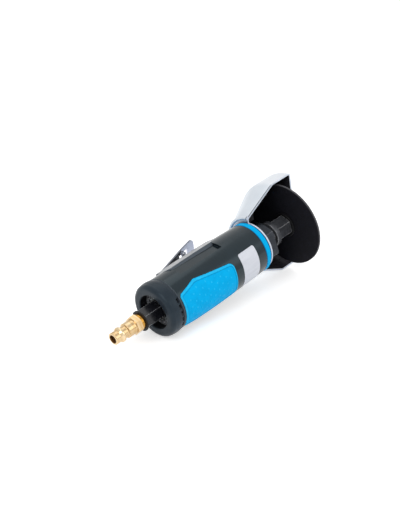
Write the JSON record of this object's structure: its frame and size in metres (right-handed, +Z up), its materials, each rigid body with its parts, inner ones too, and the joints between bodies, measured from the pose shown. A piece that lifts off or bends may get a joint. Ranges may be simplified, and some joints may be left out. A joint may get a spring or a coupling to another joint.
{
  "type": "air cut-off grinder",
  "caption": "Straight pneumatic cut-off grinder: lever throttle with safety latch, vane motor, turning half-bell guard over a cutting disc, and a brass air plug.",
  "frame": {"origin": "on the surface the tool lies on, below the middle of its box", "axes": "+X along the tool towards the disc, +Y towards the lever, +Z up; the tool's own axis rises towards +X because it lies on its guard and its rear cap"},
  "size_m": [0.222, 0.0828, 0.0877],
  "materials": {
    "handle_polymer": "fine matt moulding grain",
    "grip_polymer": "satin with a fine grip pattern",
    "plate_metal": "satin, bare",
    "black_steel": "black oxide, satin",
    "brass": "machined, slightly dull",
    "screen_metal": "perforated sheet, dull",
    "seal_rubber": "matt",
    "plated_steel": "satin zinc plating",
    "bright_steel": "ground",
    "valve_brass": "machined",
    "end_plate_iron": "machined",
    "vane_composite": "woven laminate",
    "abrasive": "gritty, resin bonded"
  },
  "bodies": {
    "handle": {"handle_housing": "handle_polymer", "palm_pad": "grip_polymer", "rating_plate": "plate_metal", "front_ring": "grip_polymer", "cap_retaining_ring": "bright_steel", "exhaust_screen": "screen_metal", "inlet_bushing": "black_steel", "bushing_seal": "seal_rubber", "inlet_strainer": "bright_steel", "plug_washer": "seal_rubber", "coupling_plug": "brass", "lever_pin": "bright_steel", "valve_bushing": "valve_brass", "stem_oring": "seal_rubber", "valve_spring": "bright_steel", "motor_cylinder": "bright_steel", "locating_dowels": "bright_steel", "rear_end_plate": "end_plate_iron", "front_end_plate": "end_plate_iron", "rear_bearing_outer": "bright_steel", "front_bearing_outer": "bright_steel", "clamp_nut": "black_steel", "dust_seal": "seal_rubber"},
    "exhaust_cap": {"rear_cap": "handle_polymer"},
    "lever": {"throttle_lever": "plated_steel", "latch_pin": "bright_steel", "latch_spring": "bright_steel"},
    "latch": {"safety_latch": "plated_steel"},
    "valve": {"valve_stem": "bright_steel", "valve_seal": "seal_rubber"},
    "guard": {"guard": "plated_steel"},
    "spindle": {"rotor": "bright_steel", "rotor_vanes": "vane_composite", "rear_bearing_inner": "bright_steel", "front_bearing_inner": "bright_steel", "disc_arbor": "black_steel", "inner_flange": "black_steel", "cutting_disc": "abrasive", "outer_flange": "black_steel", "disc_screw": "black_steel"},
    "front_balls": {"front_bearing_balls": "bright_steel"},
    "rear_balls": {"rear_bearing_balls": "bright_steel"}
  },
  "joints": [
    {"name": "spindle_spin", "type": "hinge", "parent": "handle", "child": "spindle", "pos_m": [0.09048, -0.00393, 0.04358], "axis": [0.9911, 0, 0.1335], "continuous": true},
    {"name": "guard_turn", "type": "hinge", "parent": "handle", "child": "guard", "pos_m": [0.04836, -0.00393, 0.03791], "axis": [0.9911, 0, 0.1335], "continuous": true},
    {"name": "exhaust_turn", "type": "hinge", "parent": "handle", "child": "exhaust_cap", "pos_m": [-0.05541, -0.00393, 0.02394], "axis": [0.9911, 0, 0.1335], "continuous": true},
    {"name": "lever_squeeze", "type": "hinge", "parent": "handle", "child": "lever", "pos_m": [-0.04877, 0.01847, 0.02483], "axis": [0.1335, 0, -0.9911], "range_deg": [0, 13], "stiffness_Nm_per_rad": 0.6, "springref_deg": -28.65},
    {"name": "latch_fold", "type": "hinge", "parent": "lever", "child": "latch", "pos_m": [0.00277, 0.03246, 0.03177], "axis": [0.1335, 0, -0.9911], "range_deg": [0, 32]},
    {"name": "valve_slide", "type": "slide", "parent": "handle", "child": "valve", "axis": [0, -1, 0], "range_m": [0, 0.0033], "deforming": ["valve_spring"]},
    {"name": "front_ball_orbit", "type": "hinge", "parent": "handle", "child": "front_balls", "pos_m": [0.03131, -0.00393, 0.03561], "axis": [0.9911, 0, 0.1335], "continuous": true},
    {"name": "rear_ball_orbit", "type": "hinge", "parent": "handle", "child": "rear_balls", "pos_m": [-0.02488, -0.00393, 0.02805], "axis": [0.9911, 0, 0.1335], "continuous": true}
  ],
  "couplings": [
    {"joint": "latch_fold", "follows": "lever_squeeze", "ratio": 2.46},
    {"joint": "valve_slide", "follows": "lever_squeeze", "m_per_rad": 0.01424},
    {"joint": "front_ball_orbit", "follows": "spindle_spin", "ratio": 0.39},
    {"joint": "rear_ball_orbit", "follows": "spindle_spin", "ratio": 0.3733}
  ]
}
